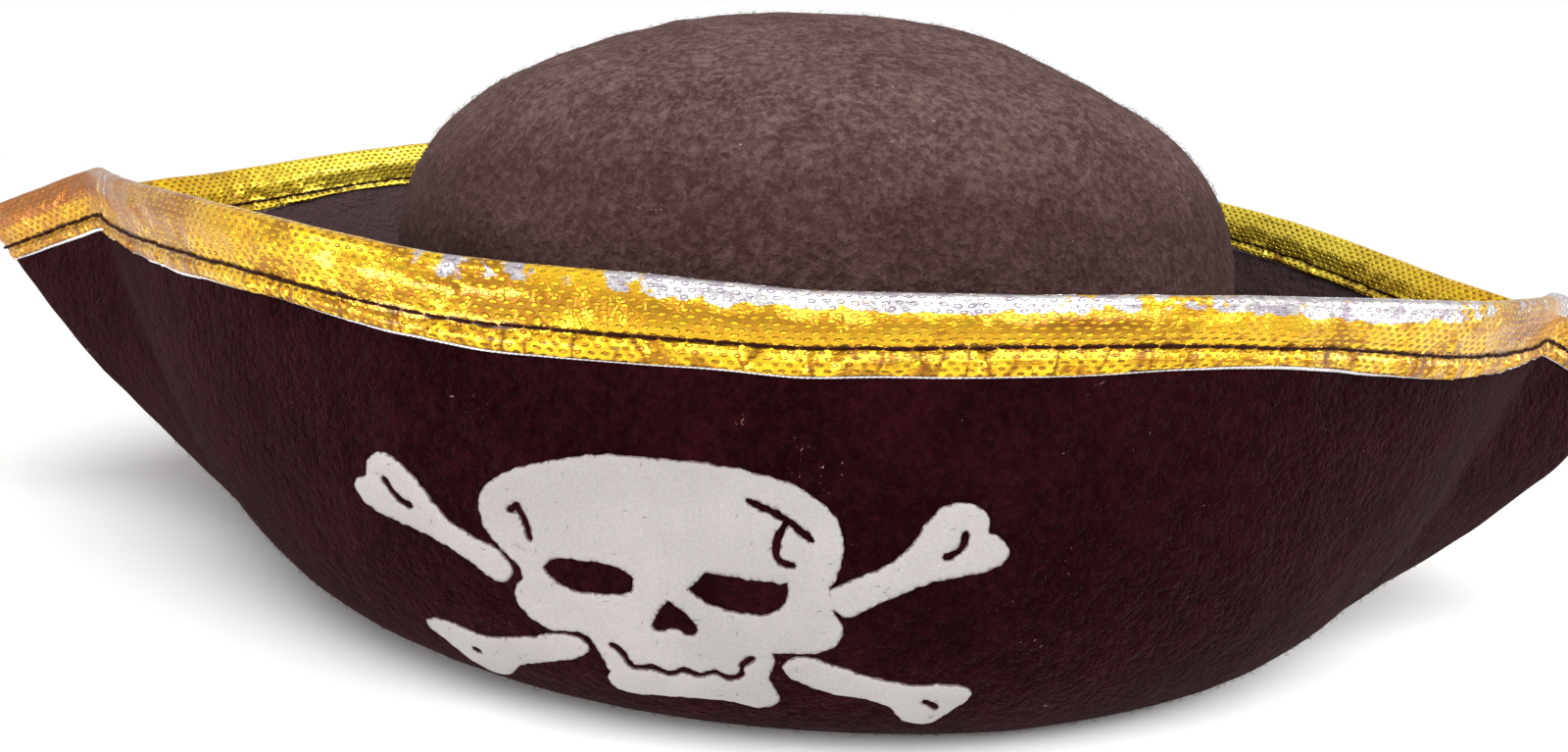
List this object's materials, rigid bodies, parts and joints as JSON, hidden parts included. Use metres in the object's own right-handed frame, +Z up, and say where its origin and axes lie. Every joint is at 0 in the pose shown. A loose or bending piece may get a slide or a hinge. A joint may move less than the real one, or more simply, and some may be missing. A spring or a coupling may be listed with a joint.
{
  "type": "pirate hat",
  "caption": "Black felt tricorn hat with a domed crown, turned-up flaps edged in gold foil tape and a skull and crossbones print on the front.",
  "frame": {"origin": "centre of the head opening, on the plane that the hat rests on", "axes": "+Z up through the top of the crown, -Y towards the printed front flap, +X towards the wearer's left corner"},
  "size_m": [0.38, 0.3126, 0.1285],
  "materials": {
    "crown_felt": "fuzzy pressed felt, blotchy charcoal with a brown cast",
    "brim_felt": "smoother pressed felt, near black with a faint purple cast",
    "gold_foil": "embossed metallic foil laminated on cloth",
    "backing_cloth": "thin white woven backing",
    "dark_thread": "spun polyester sewing thread",
    "sweatband_cloth": "black non-woven ribbon",
    "print_white": "off-white flocked transfer print"
  },
  "bodies": {
    "root": {"crown": "crown_felt", "brim": "brim_felt", "sweatband": "sweatband_cloth", "edge_binding": "gold_foil", "binding_backing": "backing_cloth", "binding_needle_thread": "dark_thread", "binding_bobbin_thread": "dark_thread", "sweatband_needle_thread": "dark_thread", "sweatband_bobbin_thread": "dark_thread", "skull_print": "print_white", "bone_print_upper_left": "print_white", "bone_print_lower_left": "print_white", "bone_print_lower_right": "print_white"}
  },
  "joints": []
}
